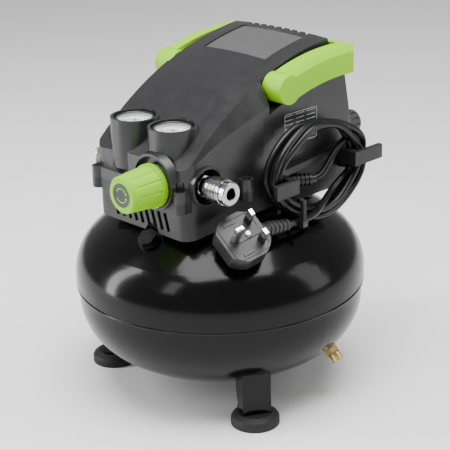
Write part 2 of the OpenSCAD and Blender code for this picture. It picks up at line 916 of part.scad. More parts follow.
module at_gland() { translate(gland_at) rotate([0, 90, gland_turn]) children(); }

module cord_gland() {
    color(rubber_black) at_gland() {
        translate([0, 0, -4]) cylinder(r = 5.5, h = 8, $fn = 32);
        translate([0, 0, 4]) cylinder(r = 7, h = 3, $fn = 32);
        difference() {
            translate([0, 0, 7]) cylinder(r1 = 6, r2 = 4.4, h = 22, $fn = 32);
            translate([0, 0, 24]) cylinder(r = cord_d / 2, h = 10, $fn = 32);
        }
    }
}

module cord_tail() { color(lead_black) swept_tube(cord_tail_points, cord_d); }
module cord_lead() { color(lead_black) swept_tube(cord_lead_points, cord_d); }

module coil_2d(circles) {
    hull() for (c = circles) translate([c[0], c[1]]) circle(c[2], $fn = 48);
}
module cord_coil() {
    color(lead_black) translate([coil_x, 0, 0]) rotate([90, 0, 90]) linear_extrude(coil_w)
        difference() {
            coil_2d(coil_outside);
            coil_2d(coil_opening);
        }
}

// Outline of the tie round the turns and the lead, its inner corner clear of the tank [x, z]
tie_outline = [[82.5, 215], [82.5, 191.2], [90, 186.6], [96, 186], [115, 186], [115, 215]];
module cable_tie() {
    color(matte_black) translate([0, 2.5, 0]) rotate([90, 0, 0]) linear_extrude(4.5) difference() {
        polygon(tie_outline);
        offset(delta = -1.5) polygon(tie_outline);
    }
}

module at_plug() { translate(plug_at) rotate(plug_turn) children(); }

module plug_body() {
    color(matte_black) at_plug() difference() {
        union() {
            translate([0, 1, -17]) linear_extrude(17) intersection() {
                circle(25.5, $fn = 96);
                square([48, 44], center = true);
            }
            translate([0, -21, -9]) rotate([104, 0, -8]) cylinder(r1 = 7, r2 = 4.6, h = 33, $fn = 48);
        }
        translate([0, -21, -9]) rotate([104, 0, -8])
            translate([0, 0, 28]) cylinder(r = cord_d / 2, h = 10, $fn = 32);
    }
}

module plug_pins() {
    color(brass) at_plug() {
        translate([-2, 11.1 - 4, 0]) cube([4, 8, 22.7]);
        for (x = [-11.1, 11.1]) translate([x - 3.2, -11.1 - 2, 0]) cube([6.4, 4, 17.7]);
    }
}

// ---------- drawing ----------

tank_upper_shell();
tank_lower_shell();
foot_brackets();
rubber_foot_1();
rubber_foot_2();
rubber_foot_3();
foot_bolts();
drain_valve_body();
drain_valve_seal();
drain_knob();
tank_port_plug();
pump_saddle();
rubber_mounts();
check_valve();
motor_stator();
motor_windings();
motor_end_brackets();
motor_bearings();
motor_rotor();
motor_shaft();
cooling_fan();
crankcase();
eccentric_crank();
piston_rod();
cylinder_barrel();
valve_plate();
cylinder_head();
head_bolts();
intake_filter();
discharge_tube();
manifold();
pressure_switch();
switch_knob();
regulator_body();
regulator_knob();
knob_disc();
coupler_body();
coupler_sleeve();
safety_valve_body();
safety_valve_pull();
tank_gauge_case();
outlet_gauge_case();
gauge_dials();
tank_gauge_needle();
outlet_gauge_needle();
gauge_lenses();
lower_housing();
top_cover();
badge_panel();
cover_screws();
carry_handle();
handle_pivot_pins();
cord_hooks();
cord_gland();
cord_tail();
cord_coil();
cord_lead();
cable_tie();
plug_body();
plug_pins();
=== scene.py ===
import json
import math

import bmesh
import bpy
import numpy as np
from mathutils import Matrix, Vector
from mathutils.geometry import convex_hull_2d


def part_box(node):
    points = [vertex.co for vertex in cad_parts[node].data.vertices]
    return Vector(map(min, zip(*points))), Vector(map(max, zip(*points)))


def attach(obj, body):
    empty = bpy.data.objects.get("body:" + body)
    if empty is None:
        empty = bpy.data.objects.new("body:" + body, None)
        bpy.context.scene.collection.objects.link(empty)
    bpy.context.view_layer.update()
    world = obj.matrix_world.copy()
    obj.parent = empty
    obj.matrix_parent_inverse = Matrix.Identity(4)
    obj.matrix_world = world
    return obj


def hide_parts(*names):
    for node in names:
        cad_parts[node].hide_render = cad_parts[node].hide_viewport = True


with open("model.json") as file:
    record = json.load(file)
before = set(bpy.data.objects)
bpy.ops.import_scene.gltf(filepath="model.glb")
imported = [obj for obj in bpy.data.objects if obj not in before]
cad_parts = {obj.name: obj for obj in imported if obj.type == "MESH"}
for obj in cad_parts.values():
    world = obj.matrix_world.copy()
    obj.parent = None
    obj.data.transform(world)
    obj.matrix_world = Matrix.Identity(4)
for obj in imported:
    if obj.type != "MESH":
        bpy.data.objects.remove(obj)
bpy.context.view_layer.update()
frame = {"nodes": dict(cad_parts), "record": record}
ROOT = "tank"
GAUGE_X, GAUGE_Y = .0266, -.0795
COUPLER_Y, COUPLER_Z = -.0765, .236


# ---------- camera ----------

def aim(obj, look_at, azimuth, elevation, roll, distance):
    """Turns an object to look at a point, from an azimuth right of -Y and an elevation, in degrees."""
    a, e, r = math.radians(azimuth), math.radians(elevation), math.radians(roll)
    right = Vector((math.cos(a), math.sin(a), 0))
    up = Vector((-math.sin(a) * math.sin(e), math.cos(a) * math.sin(e), math.cos(e)))
    back = right.cross(up)
    x = right * math.cos(r) + up * math.sin(r)
    y = up * math.cos(r) - right * math.sin(r)
    turn = Matrix((x, y, back)).transposed().to_4x4()
    obj.matrix_world = Matrix.Translation(Vector(look_at) + back * distance) @ turn


def link(obj):
    bpy.context.scene.collection.objects.link(obj)
    return obj


camera = link(bpy.data.objects.new("camera", bpy.data.cameras.new("camera")))
camera.data.sensor_width = 36
camera.data.lens = 108.9
camera.data.clip_end = 20
aim(camera, (0.0043, 0.0045, 0.1595), azimuth=46.34, elevation=20.94, roll=-1.67, distance=1.3606)
bpy.context.scene.camera = camera


# ---------- procedural materials ----------

class Look:
    """One procedural material, built in the coordinates of the part it is on."""

    def __init__(self, name, **fixed):
        self.material = bpy.data.materials.new(name)
        self.material.use_nodes = True
        self.tree = self.material.node_tree
        self.shader = self.tree.nodes["Principled BSDF"]
        self.place = self.add("ShaderNodeTexCoord").outputs["Object"]
        self.normal = None
        for key, value in fixed.items():
            self.shader.inputs[key.replace("_", " ")].default_value = value

    def add(self, kind, values=None, **settings):
        node = self.tree.nodes.new(kind)
        for key, value in settings.items():
            setattr(node, key, value)
        for socket, value in (values or {}).items():
            if isinstance(value, bpy.types.NodeSocket):
                self.tree.links.new(value, node.inputs[socket])
            else:
                node.inputs[socket].default_value = value
        return node

    def stretched(self, scale):
        return self.add("ShaderNodeMapping", {"Vector": self.place, "Scale": scale}).outputs["Vector"]

    def noise(self, scale, detail=3.0, rough=0.5, stretch=None):
        place = self.stretched(stretch) if stretch else self.place
        values = {"Vector": place, "Scale": scale, "Detail": detail, "Roughness": rough}
        return self.add("ShaderNodeTexNoise", values).outputs["Fac"]

    def cells(self, scale, stretch=None):
        place = self.stretched(stretch) if stretch else self.place
        return self.add("ShaderNodeTexVoronoi", {"Vector": place, "Scale": scale}).outputs["Distance"]

    def span(self, value, low, high, start=0.3, end=0.7):
        values = {"Value": value, "From Min": start, "From Max": end, "To Min": low, "To Max": high}
        return self.add("ShaderNodeMapRange", values).outputs["Result"]

    def ramp(self, value, stops):
        node = self.add("ShaderNodeValToRGB", {"Fac": value})
        while len(node.color_ramp.elements) < len(stops):
            node.color_ramp.elements.new(0.5)
        for element, (at, colour) in zip(node.color_ramp.elements, stops):
            element.position = at
            element.color = (*colour, 1)
        return node.outputs["Color"]

    def math(self, operation, a, b=0.0):
        return self.add("ShaderNodeMath", {0: a, 1: b}, operation=operation).outputs["Value"]

    def bump(self, height, distance, strength=1.0):
        values = {"Height": height, "Distance": distance, "Strength": strength}
        if self.normal:
            values["Normal"] = self.normal
        self.normal = self.add("ShaderNodeBump", values).outputs["Normal"]
        self.tree.links.new(self.normal, self.shader.inputs["Normal"])

    def feed(self, **sources):
        for key, value in sources.items():
            self.tree.links.new(value, self.shader.inputs[key.replace("_", " ")])
        return self.material


def shade(colour, factor):
    return tuple(min(1.0, c * factor) for c in colour)


def moulded(name, colour, rough, grain=1500, depth=0.00006, vary=0.12, **fixed):
    """Moulded plastic or rubber: spark-eroded grain, faint flow marks and slightly uneven gloss."""
    look = Look(name, **fixed)
    flow = look.noise(14, 4, 0.55, stretch=(1, 1, 2.2))
    tone = look.ramp(flow, [(0.3, shade(colour, 1 - vary)), (0.7, shade(colour, 1 + vary))])
    grit = look.noise(grain, 2, 0.6)
    look.bump(grit, depth, 0.8)
    look.bump(flow, depth * 3, 0.25)
    gloss = look.span(look.noise(60, 3, 0.6), rough - 0.06, rough + 0.08)
    return look.feed(Base_Color=tone, Roughness=gloss)


def metal(name, colour, rough, streak=(1, 1, 1), scale=300, depth=0.00003, vary=0.08, **fixed):
    """Turned, plated or drawn metal: fine streaks along its working direction and slight tarnish."""
    look = Look(name, Metallic=1.0, **fixed)
    tarnish = look.noise(55, 4, 0.6)
    tone = look.ramp(tarnish, [(0.3, shade(colour, 1 - vary)), (0.7, shade(colour, 1 + vary))])
    lines = look.noise(scale, 3, 0.7, stretch=streak)
    look.bump(lines, depth, 0.6)
    gloss = look.span(lines, rough - 0.06, rough + 0.1)
    return look.feed(Base_Color=tone, Roughness=gloss)


def knurled(name, colour, rough, centre, count, pitch, depth):
    """Metal turned about an axis along X, with a diamond knurl round it."""
    look = Look(name, Metallic=1.0)
    parts = look.add("ShaderNodeSeparateXYZ", {"Vector": look.place}).outputs
    y = look.math("SUBTRACT", parts["Y"], centre[0])
    z = look.math("SUBTRACT", parts["Z"], centre[1])
    around = look.math("MULTIPLY", look.math("ARCTAN2", z, y), count)
    along = look.math("MULTIPLY", parts["X"], math.tau / pitch)
    one = look.math("SINE", look.math("ADD", around, along))
    two = look.math("SINE", look.math("SUBTRACT", around, along))
    diamonds = look.math("MULTIPLY", one, two)
    look.bump(diamonds, depth, 0.9)
    tarnish = look.noise(70, 4, 0.6)
    tone = look.ramp(tarnish, [(0.3, shade(colour, 0.88)), (0.7, colour)])
    gloss = look.span(look.noise(900, 2, 0.6), rough - 0.05, rough + 0.1)
    return look.feed(Base_Color=tone, Roughness=gloss)


def painted(name, colour):
    """Stove paint on pressed steel: long orange peel under a clear gloss, with a little settled dust."""
    look = Look(name, Coat_Weight=0.08, Coat_Roughness=0.04, Specular_IOR_Level=0.16)
    peel = look.noise(170, 2, 0.45)
    look.bump(look.noise(26, 2, 0.4), 0.00012, 0.2)
    look.bump(peel, 0.00002, 0.35)
    dust = look.cells(420)
    specks = look.span(dust, 1.0, 0.0, 0.02, 0.05)
    cloud = look.noise(9, 4, 0.6)
    tone = look.ramp(cloud, [(0.3, colour), (0.75, shade(colour, 1.5))])
    dusty = look.add("ShaderNodeMix", {0: look.math("MULTIPLY", specks, 0.12), 6: tone,
                                       7: (0.25, 0.25, 0.25, 1)}, data_type="RGBA").outputs[2]
    gloss = look.span(look.noise(38, 4, 0.6), 0.13, 0.21)
    return look.feed(Base_Color=dusty, Roughness=gloss)


def laminated(name):
    """A stack of stamped steel sheets along X."""
    look = Look(name, Metallic=1.0)
    bands = look.add("ShaderNodeTexWave", {"Vector": look.place, "Scale": 320.0, "Distortion": 0.6},
                     bands_direction="X").outputs["Fac"]
    look.bump(bands, 0.0002, 0.8)
    tone = look.ramp(bands, [(0.2, (0.2, 0.2, 0.21)), (0.8, (0.5, 0.5, 0.52))])
    return look.feed(Base_Color=tone, Roughness=look.span(look.noise(300), 0.35, 0.55))


def wound(name):
    """Enamelled copper wire laid round a bobbin."""
    look = Look(name, Metallic=0.9, Coat_Weight=0.5)
    bands = look.add("ShaderNodeTexWave", {"Vector": look.place, "Scale": 260.0, "Distortion": 1.5},
                     bands_direction="DIAGONAL").outputs["Fac"]
    look.bump(bands, 0.0003, 0.9)
    tone = look.ramp(bands, [(0.1, (0.25, 0.09, 0.03)), (0.8, (0.72, 0.36, 0.16))])
    return look.feed(Base_Color=tone, Roughness=look.span(look.noise(200), 0.25, 0.45))


def cast(name, colour):
    """Sand-cast alloy with a pebbled skin."""
    look = Look(name, Metallic=0.9)
    pebbles = look.cells(900)
    look.bump(pebbles, 0.0001, 0.7)
    tone = look.ramp(look.noise(40), [(0.3, shade(colour, 0.8)), (0.7, colour)])
    return look.feed(Base_Color=tone, Roughness=look.span(pebbles, 0.42, 0.62, 0.1, 0.6))


def cable(name, colour):
    """Soft PVC sheath: glossy, faintly rippled by the cores twisted inside it."""
    look = Look(name, Specular_IOR_Level=0.32)
    ripple = look.noise(90, 2, 0.4)
    look.bump(ripple, 0.0003, 0.35)
    look.bump(look.noise(1200, 2, 0.6), 0.00002, 0.5)
    tone = look.ramp(ripple, [(0.3, colour), (0.7, shade(colour, 1.6))])
    return look.feed(Base_Color=tone, Roughness=look.span(look.noise(75, 3), 0.24, 0.36))


def dial_card(name):
    """Printed dial card: matt white with a hint of paper tooth."""
    look = Look(name, Specular_IOR_Level=0.3)
    tooth = look.noise(2400, 3, 0.7)
    look.bump(tooth, 0.00002, 0.4)
    tone = look.ramp(look.noise(120), [(0.3, (0.80, 0.81, 0.81)), (0.7, (0.88, 0.88, 0.87))])
    return look.feed(Base_Color=tone, Roughness=look.span(tooth, 0.5, 0.65))


def clear(name):
    """Moulded clear lens with the faintest waviness."""
    look = Look(name, Specular_IOR_Level=0.7, Alpha=0.16)
    wave = look.noise(60, 2)
    look.bump(wave, 0.00004, 0.3)
    tone = look.ramp(wave, [(0.3, (0.9, 0.94, 0.95)), (0.7, (0.97, 0.98, 0.98))])
    return look.feed(Base_Color=tone, Roughness=look.span(look.noise(200), 0.03, 0.08))


LIME = (0.235, 0.55, 0.0)
LOOKS = {
    "tank_paint": painted("tank_paint", (0.0018, 0.0018, 0.002)),
    "foot_rubber": moulded("foot_rubber", (0.012, 0.012, 0.012), 0.62, 900, 0.0001,
                           Specular_IOR_Level=0.35),
    "zinc_plate": metal("zinc_plate", (0.66, 0.67, 0.68), 0.34),
    "plain_brass": metal("plain_brass", (0.78, 0.60, 0.22), 0.26, streak=(1, 1, 0.1)),
    "pin_brass": metal("pin_brass", (0.88, 0.87, 0.82), 0.2, streak=(1, 0.1, 1)),
    "motor_steel": laminated("motor_steel"),
    "winding_copper": wound("winding_copper"),
    "cast_alloy": cast("cast_alloy", (0.55, 0.56, 0.58)),
    "fan_plastic": moulded("fan_plastic", (0.03, 0.03, 0.03), 0.5),
    "switch_red": moulded("switch_red", (0.55, 0.012, 0.01), 0.35),
    "knob_lime": moulded("knob_lime", LIME, 0.4, 1300, 0.00005, 0.05, Specular_IOR_Level=0.25),
    "disc_black": moulded("disc_black", (0.012, 0.012, 0.013), 0.45),
    "coupler_chrome": knurled("coupler_chrome", (0.36, 0.36, 0.37), 0.16, (COUPLER_Y, COUPLER_Z),
                              count=24, pitch=0.0026, depth=0.00004),
    "gauge_case_black": moulded("gauge_case_black", (0.01, 0.01, 0.011), 0.38),
    "dial_white": dial_card("dial_white"),
    "needle_black": moulded("needle_black", (0.01, 0.01, 0.01), 0.4),
    "gauge_glass": clear("gauge_glass"),
    "housing_black": moulded("housing_black", (0.006, 0.006, 0.0065), 0.45, 1200, 0.00009),
    "cover_grey": moulded("cover_grey", (0.017, 0.017, 0.018), 0.3, 1400, 0.00004, 0.08),
    "badge_grey": moulded("badge_grey", (0.07, 0.07, 0.072), 0.42, 1800, 0.00004, 0.06),
    "handle_lime": moulded("handle_lime", LIME, 0.42, 1300, 0.00005, 0.05, Specular_IOR_Level=0.25),
    "lead_pvc": cable("lead_pvc", (0.004, 0.004, 0.0045)),
}
PLUG = moulded("plug_moulding", (0.012, 0.012, 0.0125), 0.38, 1500, 0.00005)
# Dark metal: on the tank's port plug its dark colour is painted reflection, standing in for a chrome plug
# that mirrors dark surroundings; the cover screws take the same dark metal.
DARK_METAL_AND_PAINTED_REFLECTION = metal("dark_metal_and_painted_reflection", (0.05, 0.05, 0.052), 0.3)
FINISHES = {part["node"]: part["material_slot"] for part in frame["record"]["subparts"]}
POLISHED = metal("polished_rim", (0.45, 0.45, 0.46), 0.13, scale=900)
FINISH_OF = {"coupler_body": POLISHED, "tank_port_plug": DARK_METAL_AND_PAINTED_REFLECTION, "cover_screws": DARK_METAL_AND_PAINTED_REFLECTION,
             "plug_body": PLUG, "cord_gland": PLUG, "cable_tie": LOOKS["housing_black"]}


def nodes_take_their_looks():
    for node, slot in FINISHES.items():
        obj = frame["nodes"][node]
        look = FINISH_OF.get(node, LOOKS[slot])
        if not obj.data.materials:
            obj.data.materials.append(look)
        for i in range(len(obj.material_slots)):
            obj.material_slots[i].material = look


nodes_take_their_looks()

# Moulded and pressed edges are bevelled, so that they catch the light
EDGES = {"cord_hooks": .0012, "carry_handle": .0012, "plug_body": .0012, "plug_pins": .0004,
         "foot_brackets": .0006, "badge_panel": .0004}
for node, width in EDGES.items():
    obj = frame["nodes"][node]
    weld = obj.modifiers.new("weld", "WELD")
    weld.merge_threshold = 1e-6
    bevel = obj.modifiers.new("bevel", "BEVEL")
    bevel.width, bevel.segments = width, 3
    bevel.limit_method, bevel.angle_limit = "ANGLE", math.radians(32)
    bevel.harden_normals = True


# ---------- small mesh tools ----------

def piece(name, bm, body, slot, look=None, angle=35):
    """A finished object from a bmesh, in the shared frame, riding on a body."""
    mesh = bpy.data.meshes.new(name)
    bmesh.ops.recalc_face_normals(bm, faces=bm.faces)
    bm.to_mesh(mesh)
    bm.free()
    obj = link(bpy.data.objects.new(name, mesh))
    mesh.materials.clear()
    mesh.materials.append(look or LOOKS[slot])
    mesh.shade_smooth()
    mesh.set_sharp_from_angle(angle=math.radians(angle))
    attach(obj, body)
    return obj


def lathe(bm, profile, matrix, steps=64, closed=False):
    """Turns a profile [(radius, height)] about Z and places it with a matrix."""
    rings = []
    for radius, height in profile:
        turn = [math.tau * k / steps for k in range(steps)]
        rings.append([bm.verts.new(matrix @ Vector((radius * math.cos(a), radius * math.sin(a), height)))
                      for a in turn])
    pairs = list(zip(rings, rings[1:] + rings[:1])) if closed else list(zip(rings, rings[1:]))
    for low, high in pairs:
        for k in range(steps):
            j = (k + 1) % steps
            bm.faces.new((low[k], low[j], high[j], high[k]))
    if not closed:
        bm.faces.new(rings[0][::-1])
        bm.faces.new(rings[-1])


def rounded(width, depth, radius, steps=5):
    """Outline of a rectangle with round corners, centred on the origin."""
    out = []
    for quarter, (sx, sy) in enumerate(((1, 1), (-1, 1), (-1, -1), (1, -1))):
        cx, cy = sx * (width / 2 - radius), sy * (depth / 2 - radius)
        for k in range(steps + 1):
            a = math.radians(90 * (quarter + k / steps))
            out.append((cx + radius * math.cos(a), cy + radius * math.sin(a)))
    return out


def prism(bm, outline, low, high, matrix, bevel=0.0):
    """A flat-topped block on an outline, its top edge chamfered."""
    cx = sum(p[0] for p in outline) / len(outline)
    cy = sum(p[1] for p in outline) / len(outline)
    reach = max(math.hypot(p[0] - cx, p[1] - cy) for p in outline)
    shrink = 1 - bevel / reach
    levels = [(1.0, low), (1.0, high - bevel), (shrink, high)] if bevel else [(1.0, low), (1.0, high)]
    rings = [[bm.verts.new(matrix @ Vector((cx + (x - cx) * s, cy + (y - cy) * s, z)))
              for x, y in outline] for s, z in levels]
    count = len(outline)
    for a, b in zip(rings, rings[1:]):
        for k in range(count):
            bm.faces.new((a[k], a[(k + 1) % count], b[(k + 1) % count], b[k]))
    bm.faces.new(rings[0][::-1])
    bm.faces.new(rings[-1])


def band(bm, path, offset, low, high, matrix):
    """A thin wall round a closed flat path: from the path to the path moved outward by offset."""
    count = len(path)
    loops = []
    for z in (low, high):
        for move in (0.0, offset):
            ring = []
            for k in range(count):
                a, b = path[(k - 1) % count], path[(k + 1) % count]
                dx, dy = b[0] - a[0], b[1] - a[1]
                size = math.hypot(dx, dy) or 1.0
                ring.append(bm.verts.new(matrix @ Vector((path[k][0] + move * dy / size,
                                                          path[k][1] - move * dx / size, z))))
            loops.append(ring)
    inner_low, outer_low, inner_high, outer_high = loops
    for k in range(count):
        j = (k + 1) % count
        bm.faces.new((inner_low[k], outer_low[k], outer_low[j], inner_low[j]))
        bm.faces.new((inner_high[k], inner_high[j], outer_high[j], outer_high[k]))
        bm.faces.new((outer_low[k], outer_high[k], outer_high[j], outer_low[j]))
        bm.faces.new((inner_low[k], inner_low[j], inner_high[j], inner_high[k]))


def turned(x=0.0, y=0.0, z=0.0):
    """Turns about X, then Y, then Z, in degrees."""
    return (Matrix.Rotation(math.radians(z), 4, "Z") @ Matrix.Rotation(math.radians(y), 4, "Y")
            @ Matrix.Rotation(math.radians(x), 4, "X"))


# ---------- mains lead ----------
# Metres. The tail and the lead to the plug repeat their routes in the CAD.

CORD_D = 0.0068
TAIL = [(.087, .0408, .2175), (.0894, .045, .2179), (.0911, .0496, .2196), (.0918, .0541, .2228),
        (.0918, .0584, .2269), (.0918, .0626, .2312), (.0918, .0668, .2355), (.0918, .071, .2398),
        (.0918, .0752, .2438), (.0918, .0796, .2472)]
LEAD = [(.093, .060, .199), (.096, .052, .196), (.0995, .044, .1935), (.103, .035, .1915),
        (.106, .026, .1905), (.108, .017, .1903), (.109, .008, .1905), (.1093, 0, .191),
        (.109, -.007, .1913), (.1083, -.0132, .1917), (.1077, -.0181, .192)]
OUTSIDE = [(.005, .232, .0435), (.046, .236, .040), (.086, .228, .031)]
OPENING = [(.008, .232, .022), (.084, .229, .014)]
MIDDLE = np.array((.046, .233))
LAYERS_X = (.0884, .0991)
TURNS = 6
POINTS_PER_TURN = 56
# Where the turns lie: turn number, then 0 at the opening to 1 at the outside, or 0 inner layer to 1 outer
DEPTH_AT = ([0, 0.25, 0.8, 1.1, 1.9, 2.1, 2.9, 3.1, 3.9, 4.1, 4.8, 5.25],
            [0, 0.35, 0.4, 0.1, 0.1, 0.9, 0.9, 0.15, 0.15, 0.95, 0.9, 1.0])
SIDE_AT = ([0, 0.5, 0.9, 1.1, 1.9, 2.9, 3.1, 3.9, 4.2, 4.9, 5.25],
           [0.3, 0.5, 0.5, 0.0, 0.0, 0.0, 1.0, 1.0, 0.9, 0.8, 0.45])
WAVER = 0.16
# Turn points left out at each end, for the easy bends from the tail and to the plug
CUT_START, CUT_END = 15, 14
EASING_ROUNDS = 7


def hull_radius(circles, angles):
    """How far the outline round some circles is from the middle of the coil, at each angle."""
    steps = np.linspace(0, math.tau, 181)[:-1]
    points = [Vector((y + r * math.cos(a), z + r * math.sin(a)))
              for y, z, r in circles for a in steps]
    outline = np.array([points[k] for k in convex_hull_2d(points)]) - MIDDLE
    turn = np.arctan2(outline[:, 1], outline[:, 0])
    order = np.argsort(turn)
    return np.interp(angles, turn[order], np.hypot(*outline[order].T), period=math.tau)


def wound_turns():
    """First shape of the turns: clockwise seen from the right, wandering between two layers."""
    start = math.atan2(TAIL[-1][2] - MIDDLE[1], TAIL[-1][1] - MIDDLE[0])
    end = math.atan2(LEAD[0][2] - MIDDLE[1], LEAD[0][1] - MIDDLE[0])
    sweep = (start - end) % math.tau + (TURNS - 1) * math.tau
    t = np.linspace(0, 1, POINTS_PER_TURN * TURNS)
    angle = start - sweep * t
    turn = sweep * t / math.tau
    depth = np.interp(turn, *DEPTH_AT) + WAVER * np.sin(angle * 2 + 2.4 * turn)
    side = np.interp(turn, *SIDE_AT)
    inner = hull_radius(OPENING, angle) + CORD_D / 2
    outer = hull_radius(OUTSIDE, angle) - CORD_D / 2
    radius = inner + (outer - inner) * np.clip(depth, 0, 1)
    x = LAYERS_X[0] + (LAYERS_X[1] - LAYERS_X[0]) * side
    y, z = MIDDLE[0] + radius * np.cos(angle), MIDDLE[1] + radius * np.sin(angle)
    return np.stack([x, y, z], 1)


def settled(points, fixed_start, fixed_end, rounds=400):
    """Pushes strands apart where they would lie in each other, keeping them smooth and in the coil."""
    held = np.zeros(len(points), bool)
    held[:fixed_start] = held[len(points) - fixed_end:] = True
    rest = points.copy()
    index = np.arange(len(points))
    apart = np.abs(index[:, None] - index[None, :]) > 4
    for step in range(rounds):
        gap = points[:, None] - points[None, :]
        length = np.linalg.norm(gap, axis=2)
        close = apart & (length < CORD_D)
        push = np.where(close, (CORD_D - length) / np.maximum(length, 1e-6), 0.0)
        move = 0.32 * (push[:, :, None] * gap).sum(1)
        smooth = np.zeros_like(points)
        for n in (1, 3):
            smooth[n:-n] += 0.5 * (points[:-2 * n] + points[2 * n:]) - points[n:-n]
        new = points + move + (0.22 if step % 2 else -0.19) * smooth
        flat = new[:, 1:] - MIDDLE
        angle, radius = np.arctan2(flat[:, 1], flat[:, 0]), np.hypot(*flat.T)
        low = hull_radius(OPENING, angle) + CORD_D / 2 - 0.0008
        high = hull_radius(OUTSIDE, angle) - CORD_D / 2 + 0.0004
        kept = np.clip(radius, low, high)
        new[:, 1:] = MIDDLE + flat * (kept / radius)[:, None]
        new[:, 0] = np.clip(new[:, 0], *LAYERS_X)
        points = np.where(held[:, None], rest, new)
    return points


def swept(before, after, reach, count=14):
    """An easy bend from the end of one run of points to the start of the next, without its ends."""
    start, end = np.array(before[-1]), np.array(after[0])
    size = reach * np.linalg.norm(end - start)
    leave, arrive = start - np.array(before[-2]), np.array(after[1]) - end
    leave, arrive = leave * size / np.linalg.norm(leave), arrive * size / np.linalg.norm(arrive)
    t = np.linspace(0, 1, count + 2)[1:-1, None]
    return ((2 * t**3 - 3 * t**2 + 1) * start + (t**3 - 2 * t**2 + t) * leave
            + (3 * t**2 - 2 * t**3) * end + (t**3 - t**2) * arrive)


def lead_line():
    """Centreline of the whole lead, from the gland to the plug."""
    turns = wound_turns()[CUT_START:-CUT_END]
    into, out = swept(TAIL[:-1], turns, 2.4), swept(turns, LEAD, 1.1)
    points = np.vstack([TAIL[:-1], into, turns, out, LEAD])
    points = settled(points, fixed_start=len(TAIL) + 6, fixed_end=len(LEAD) + 5)
    free = slice(len(TAIL) - 4, 4 - len(LEAD))
    for _ in range(EASING_ROUNDS):
        eased = 0.25 * (points[:-2] + points[2:]) + 0.5 * points[1:-1]
        points[free] = np.vstack([points[:1], eased, points[-1:]])[free]
    return points


line = lead_line()
spline_data = bpy.data.curves.new("mains_lead", "CURVE")
spline_data.dimensions = "3D"
spline_data.bevel_depth = CORD_D / 2
spline_data.bevel_resolution = 5
spline_data.resolution_u = 3
spline = spline_data.splines.new("NURBS")
spline.points.add(len(line) - 1)
spline.points.foreach_set("co", np.hstack([line, np.ones((len(line), 1))]).ravel())
spline.order_u = 4
spline.use_endpoint_u = True
spline_data.materials.append(LOOKS["lead_pvc"])
lead = link(bpy.data.objects.new("mains_lead", spline_data))
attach(lead, ROOT)
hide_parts("cord_coil", "cord_tail", "cord_lead")


# Strain reliefs: moulded ribs round the tapered sleeves at the housing and at the plug
def ribs(bm, matrix, start, pitch, count, radius_at):
    """Rings spaced along Z on a tapering sleeve."""
    for k in range(count):
        low = start + pitch * k
        high = low + 0.64 * pitch
        r = radius_at((low + high) / 2)
        profile = [(r - .001, low), (r + .0006, low), (r + .0011, low + .0005),
                   (r + .0011, high - .0005), (r + .0006, high), (r - .001, high)]
        lathe(bm, profile, matrix, 40, closed=True)


PLUG_AT = Matrix.Translation((.106, -.0685, .196)) @ turned(-16, -39, 180)
RELIEF_AT = PLUG_AT @ Matrix.Translation((0, -.021, -.009)) @ turned(104, 0, -8)
GLAND_AT = Matrix.Translation((.075, .02, .2175)) @ turned(0, 90, 60)

bm = bmesh.new()
ribs(bm, RELIEF_AT, .0075, .0052, 5, lambda h: .007 - .0024 * h / .033)
plug_ribs = piece("plug_relief_ribs", bm, ROOT, "lead_pvc", PLUG)
bm = bmesh.new()
ribs(bm, GLAND_AT, .009, .0042, 4, lambda h: .006 - .0016 * (h - .007) / .022)
gland_ribs = piece("gland_relief_ribs", bm, ROOT, "lead_pvc", PLUG)

# Plug: face frame, fuse cover, screw, moulded grips and pin sleeves
def on_plug(x, y):
    return PLUG_AT @ Matrix.Translation((x, y, 0))


bm = bmesh.new()
band(bm, rounded(.0415, .0375, .006), -.0011, -.0004, .0007, on_plug(0, .001))
prism(bm, rounded(.0092, .0262, .0012), -.0005, .0009, on_plug(0, -.0035), .0003)
prism(bm, rounded(.0088, .0062, .001), .0, .0013, on_plug(0, -.0035), .0003)
for x in (-.0165, .0165):
    prism(bm, rounded(.003, .013, .0008), -.0004, .0007, on_plug(x, .006), .0002)
for k in range(3):
    for x in (-.0237, .0237):
        prism(bm, rounded(.0012, .0012, .0003), -.0145, -.003, on_plug(x, .0055 - .0045 * k))
plug_face = piece("plug_face_details", bm, ROOT, "lead_pvc", PLUG)

bm = bmesh.new()
for x in (-.0111, .0111):
    prism(bm, rounded(.0069, .0045, .0006), -.0002, .0092, on_plug(x, -.0111), .0003)
pin_sleeves = piece("pin_sleeves", bm, ROOT, "lead_pvc", LOOKS["gauge_case_black"])

# Screw in the plug's face
bm = bmesh.new()
lathe(bm, [(.0, .0013), (.0026, .0013), (.0026, .0021), (.0021, .0025), (.0, .0025)],
      on_plug(0, -.0035), 32)
plug_screw = piece("plug_screw", bm, ROOT, "zinc_plate")

# Tie: a thin strap with moulded teeth, its head and a short upright tail
TIE = [(.0827, .2147), (.0827, .1914), (.0901, .1868), (.096, .1862), (.1147, .1862), (.1147, .2147)]


def rounded_path(corners, radius, steps=5):
    """A closed path with its corners eased."""
    out = []
    for k, corner in enumerate(corners):
        here = Vector(corner)
        before = (Vector(corners[k - 1]) - here).normalized()
        after = (Vector(corners[(k + 1) % len(corners)]) - here).normalized()
        half = before.angle(after) / 2
        cut = min(radius / math.tan(half), 0.0028)
        a, b = here + before * cut, here + after * cut
        for j in range(steps + 1):
            t = j / steps
            out.append(tuple((1 - t) ** 2 * a + 2 * t * (1 - t) * here + t * t * b))
    return out


